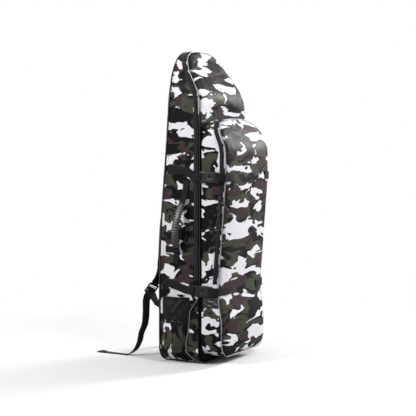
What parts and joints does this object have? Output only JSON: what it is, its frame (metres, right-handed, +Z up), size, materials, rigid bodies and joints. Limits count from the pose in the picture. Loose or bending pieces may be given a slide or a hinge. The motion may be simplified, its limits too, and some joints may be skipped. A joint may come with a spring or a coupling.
{
  "type": "long fin backpack",
  "caption": "Tall camouflage backpack for long diving fins, with a front pocket, buckled compression straps, zips, a side handle, side pockets and a padded back harness.",
  "frame": {"origin": "middle of the base panel's underside", "axes": "+Z up, +X towards the wearer's right, +Y towards the wearer's back, -Y towards the front pocket"},
  "size_m": [0.4515, 0.5084, 0.9953],
  "materials": {
    "camouflage_coated_fabric": "woodland camouflage print under a slightly glossy coating",
    "black_coated_fabric": "black coated fabric, satin",
    "black_mesh": "open mesh, matte",
    "black_zip_tape": "coated tape with a moulded chain, satin",
    "pale_piping": "soft vinyl piping, satin",
    "stiff_sheet": "hidden stiffening sheet",
    "black_webbing": "woven webbing, matte",
    "black_plastic": "moulded, satin gloss",
    "black_cord": "coated cord and moulded ends",
    "grip_rubber": "ribbed soft rubber, matte"
  },
  "bodies": {
    "bag": {"main_compartment": "camouflage_coated_fabric", "main_front_panel": "camouflage_coated_fabric", "pocket_compartment": "camouflage_coated_fabric", "pocket_front_panel": "camouflage_coated_fabric", "left_side_pocket": "camouflage_coated_fabric", "right_side_pocket": "camouflage_coated_fabric", "back_panel": "black_coated_fabric", "base_panel": "black_coated_fabric", "left_strap_wing": "black_coated_fabric", "right_strap_wing": "black_coated_fabric", "left_shoulder_pad": "black_coated_fabric", "right_shoulder_pad": "black_coated_fabric", "left_side_pocket_mesh": "black_mesh", "right_side_pocket_mesh": "black_mesh", "main_zip": "black_zip_tape", "pocket_zip": "black_zip_tape", "main_front_piping": "pale_piping", "main_rear_piping": "pale_piping", "pocket_front_piping": "pale_piping", "back_stiffener": "stiff_sheet", "side_handle_upper_webbing": "black_webbing", "side_handle_lower_webbing": "black_webbing", "carry_loop": "black_webbing", "left_lock_loop": "black_webbing", "right_lock_loop": "black_webbing", "left_strap_webbing": "black_webbing", "right_strap_webbing": "black_webbing", "upper_left_strap_sewn_webbing": "black_webbing", "upper_left_strap_tab": "black_webbing", "upper_right_strap_sewn_webbing": "black_webbing", "upper_right_strap_tab": "black_webbing", "lower_left_strap_sewn_webbing": "black_webbing", "lower_left_strap_tab": "black_webbing", "lower_right_strap_sewn_webbing": "black_webbing", "lower_right_strap_tab": "black_webbing", "upper_left_buckle_socket": "black_plastic", "upper_right_buckle_socket": "black_plastic", "lower_left_buckle_socket": "black_plastic", "lower_right_buckle_socket": "black_plastic", "left_ladder_lock": "black_plastic", "right_ladder_lock": "black_plastic"},
    "side_handle": {"side_handle_webbing": "black_webbing", "side_handle_grip": "grip_rubber"},
    "upper_left_release": {"upper_left_buckle_tongue": "black_plastic", "upper_left_strap_loop": "black_webbing"},
    "upper_right_release": {"upper_right_buckle_tongue": "black_plastic", "upper_right_strap_loop": "black_webbing"},
    "lower_left_release": {"lower_left_buckle_tongue": "black_plastic", "lower_left_strap_loop": "black_webbing"},
    "lower_right_release": {"lower_right_buckle_tongue": "black_plastic", "lower_right_strap_loop": "black_webbing"},
    "pocket_upper_slider": {"pocket_zip_upper_slider": "black_plastic"},
    "pocket_upper_pull": {"pocket_zip_upper_pull": "black_cord"},
    "pocket_lower_slider": {"pocket_zip_lower_slider": "black_plastic"},
    "pocket_lower_pull": {"pocket_zip_lower_pull": "black_cord"},
    "main_upper_slider": {"main_zip_upper_slider": "black_plastic"},
    "main_upper_pull": {"main_zip_upper_pull": "black_cord"},
    "main_lower_slider": {"main_zip_lower_slider": "black_plastic"},
    "main_lower_pull": {"main_zip_lower_pull": "black_cord"}
  },
  "joints": [
    {"name": "side_handle_swing", "type": "hinge", "parent": "bag", "child": "side_handle", "pos_m": [-0.163, -0.017, 0.522], "axis": [0, -0.1525, 0.9883], "range_deg": [-25, 25]},
    {"name": "upper_left_buckle_slide", "type": "slide", "parent": "bag", "child": "upper_left_release", "axis": [0, 1, 0], "range_m": [0, 0.026]},
    {"name": "upper_right_buckle_slide", "type": "slide", "parent": "bag", "child": "upper_right_release", "axis": [0, 1, 0], "range_m": [0, 0.026]},
    {"name": "lower_left_buckle_slide", "type": "slide", "parent": "bag", "child": "lower_left_release", "axis": [0, 1, 0], "range_m": [0, 0.026]},
    {"name": "lower_right_buckle_slide", "type": "slide", "parent": "bag", "child": "lower_right_release", "axis": [0, 1, 0], "range_m": [0, 0.026]},
    {"name": "pocket_upper_slider_travel", "type": "slide", "parent": "bag", "child": "pocket_upper_slider", "axis": [0, -0.0755, 0.9971], "range_m": [-0.005, 0.045]},
    {"name": "pocket_upper_pull_lift", "type": "hinge", "parent": "pocket_upper_slider", "child": "pocket_upper_pull", "pos_m": [-0.1561, -0.14437, 0.527], "axis": [0, 0.9971, 0.0755], "range_deg": [0, 100]},
    {"name": "pocket_lower_slider_travel", "type": "slide", "parent": "bag", "child": "pocket_lower_slider", "axis": [0, -0.0755, 0.9971], "range_m": [-0.175, 0.005]},
    {"name": "pocket_lower_pull_lift", "type": "hinge", "parent": "pocket_lower_slider", "child": "pocket_lower_pull", "pos_m": [-0.1561, -0.14232, 0.5], "axis": [0, 0.9971, 0.0755], "range_deg": [0, 100]},
    {"name": "main_upper_slider_travel", "type": "slide", "parent": "bag", "child": "main_upper_slider", "axis": [0, 0, 1], "range_m": [-0.003, 0.094]},
    {"name": "main_upper_pull_lift", "type": "hinge", "parent": "main_upper_slider", "child": "main_upper_pull", "pos_m": [0.1611, -0.06, 0.478], "axis": [0, -1, 0], "range_deg": [0, 100]},
    {"name": "main_lower_slider_travel", "type": "slide", "parent": "bag", "child": "main_lower_slider", "axis": [0, 0, 1], "range_m": [-0.07, 0.003]},
    {"name": "main_lower_pull_lift", "type": "hinge", "parent": "main_lower_slider", "child": "main_lower_pull", "pos_m": [0.1611, -0.06, 0.395], "axis": [0, -1, 0], "range_deg": [0, 100]}
  ]
}
